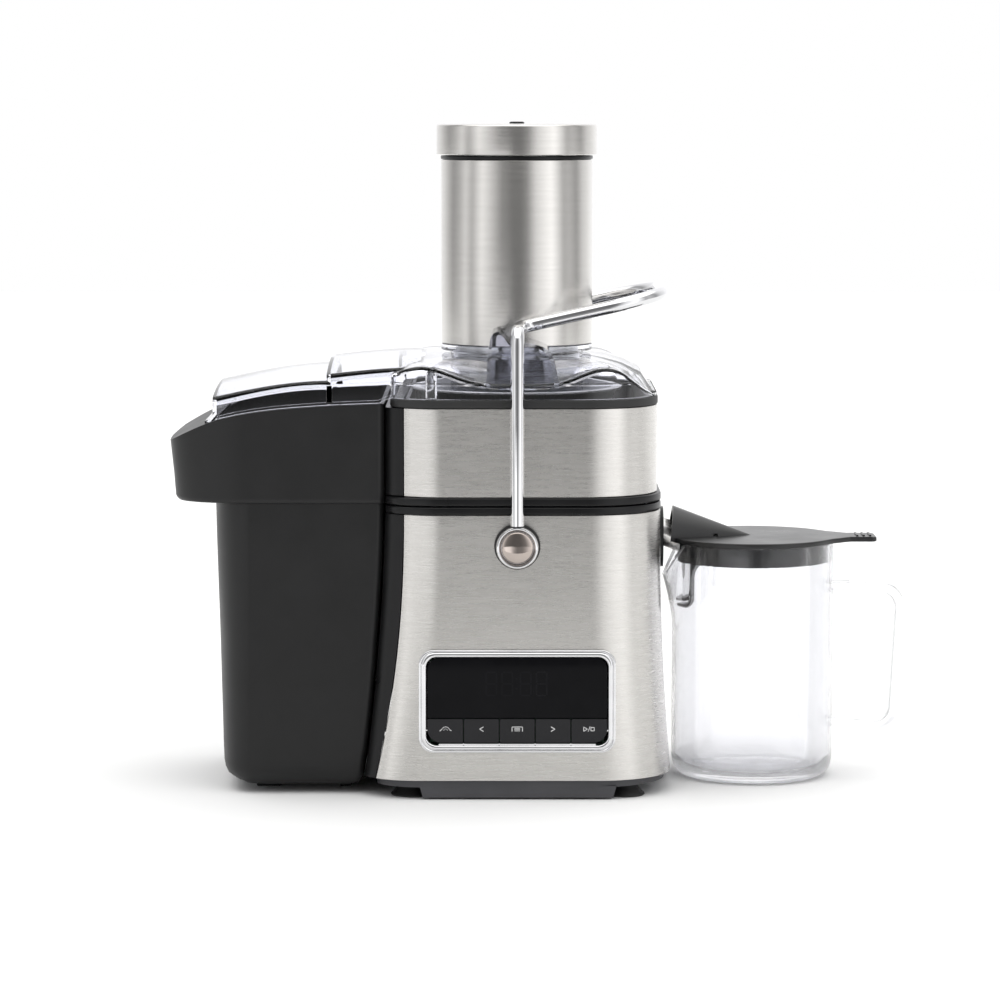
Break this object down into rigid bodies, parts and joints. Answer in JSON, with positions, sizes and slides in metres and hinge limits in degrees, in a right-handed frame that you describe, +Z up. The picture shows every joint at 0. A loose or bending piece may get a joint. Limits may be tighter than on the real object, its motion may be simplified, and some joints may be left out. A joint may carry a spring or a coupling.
{
  "type": "centrifugal juicer",
  "caption": "Centrifugal juicer with brushed steel base and feed chute, clear lid, locking wire bail, dark pulp bin at the left and a clear lidded juice jug under the spout at the right.",
  "frame": {"origin": "centre of the machine's bounding box, on the table under its feet", "axes": "+X from the pulp bin towards the juice jug, +Y from the control panel to the back, +Z up along the feed chute"},
  "size_m": [0.4522, 0.2111, 0.4039],
  "materials": {
    "brushed_steel": "horizontally brushed stainless steel",
    "chrome": "polished chrome",
    "dark_plastic": "fine matte moulded plastic",
    "black_plastic": "satin black moulded plastic",
    "grey_plastic": "satin grey moulded plastic",
    "rubber": "soft black rubber",
    "clear_plastic": "clear polished polycarbonate",
    "panel_gloss": "glossy black panel",
    "circuit_board": "green laminate",
    "motor_iron": "machined iron laminations",
    "bronze": "sintered bronze"
  },
  "bodies": {
    "base": {"motor_housing": "brushed_steel", "bowl_shell": "brushed_steel", "chute_sleeve": "brushed_steel", "juice_spout": "brushed_steel", "control_bezel": "chrome", "button_trim_strip": "chrome", "base_plate": "dark_plastic", "juice_bowl": "dark_plastic", "housing_side_panel": "black_plastic", "housing_deck": "black_plastic", "bowl_side_panel": "black_plastic", "bowl_base_ring": "black_plastic", "chute_collar": "black_plastic", "power_inlet": "black_plastic", "motor_cradle": "grey_plastic", "motor_bottom_bracket": "grey_plastic", "motor_top_bracket": "grey_plastic", "interlock_switch": "grey_plastic", "suction_foot_front_left": "rubber", "suction_foot_front_right": "rubber", "suction_foot_rear_left": "rubber", "suction_foot_rear_right": "rubber", "bowl_gasket": "rubber", "pivot_gasket_front": "rubber", "pivot_gasket_rear": "rubber", "spout_gasket": "rubber", "lid": "clear_plastic", "display_window": "panel_gloss", "control_board": "circuit_board", "motor_stator": "motor_iron", "lower_bearing": "bronze", "upper_bearing": "bronze", "pivot_bush_front": "bronze", "pivot_bush_rear": "bronze"},
    "spin_group": {"motor_shaft": "motor_iron", "motor_rotor": "motor_iron", "cooling_fan": "grey_plastic", "drive_coupling": "grey_plastic", "filter_basket": "brushed_steel", "grating_disc": "brushed_steel"},
    "pusher": {"pusher": "brushed_steel", "pusher_cap": "brushed_steel", "pusher_knob": "grey_plastic"},
    "bail": {"bail_rod": "chrome", "bail_hub_front": "chrome", "bail_hub_rear": "chrome"},
    "bin": {"pulp_bin": "dark_plastic"},
    "jug": {"juice_jug": "clear_plastic"},
    "jug_cover": {"jug_lid": "dark_plastic"},
    "pulse_button_key": {"pulse_button": "panel_gloss"},
    "speed_down_button_key": {"speed_down_button": "panel_gloss"},
    "menu_button_key": {"menu_button": "panel_gloss"},
    "speed_up_button_key": {"speed_up_button": "panel_gloss"},
    "start_stop_button_key": {"start_stop_button": "panel_gloss"}
  },
  "joints": [
    {"name": "bail_swing", "type": "hinge", "parent": "base", "child": "bail", "pos_m": [-0.0144, 0, 0.153], "axis": [0, 1, 0], "range_deg": [0, 50]},
    {"name": "pusher_lift", "type": "slide", "parent": "base", "child": "pusher", "axis": [0, 0, 1], "range_m": [0, 0.16]},
    {"name": "basket_spin", "type": "hinge", "parent": "base", "child": "spin_group", "pos_m": [-0.0144, 0, 0.1], "axis": [0, 0, 1], "continuous": true},
    {"name": "bin_pull", "type": "slide", "parent": "base", "child": "bin", "axis": [0, -1, 0], "range_m": [0, 0.2]},
    {"name": "jug_slide", "type": "slide", "parent": "base", "child": "jug", "axis": [1, 0, 0], "range_m": [0, 0.12]},
    {"name": "jug_lid_lift", "type": "slide", "parent": "jug", "child": "jug_cover", "axis": [0, 0, 1], "range_m": [0, 0.08]},
    {"name": "pulse_press", "type": "slide", "parent": "base", "child": "pulse_button_key", "axis": [0, 1, 0], "range_m": [0, 0.0012], "stiffness_N_per_m": 600},
    {"name": "speed_down_press", "type": "slide", "parent": "base", "child": "speed_down_button_key", "axis": [0, 1, 0], "range_m": [0, 0.0012], "stiffness_N_per_m": 600},
    {"name": "menu_press", "type": "slide", "parent": "base", "child": "menu_button_key", "axis": [0, 1, 0], "range_m": [0, 0.0012], "stiffness_N_per_m": 600},
    {"name": "speed_up_press", "type": "slide", "parent": "base", "child": "speed_up_button_key", "axis": [0, 1, 0], "range_m": [0, 0.0012], "stiffness_N_per_m": 600},
    {"name": "start_stop_press", "type": "slide", "parent": "base", "child": "start_stop_button_key", "axis": [0, 1, 0], "range_m": [0, 0.0012], "stiffness_N_per_m": 600}
  ]
}
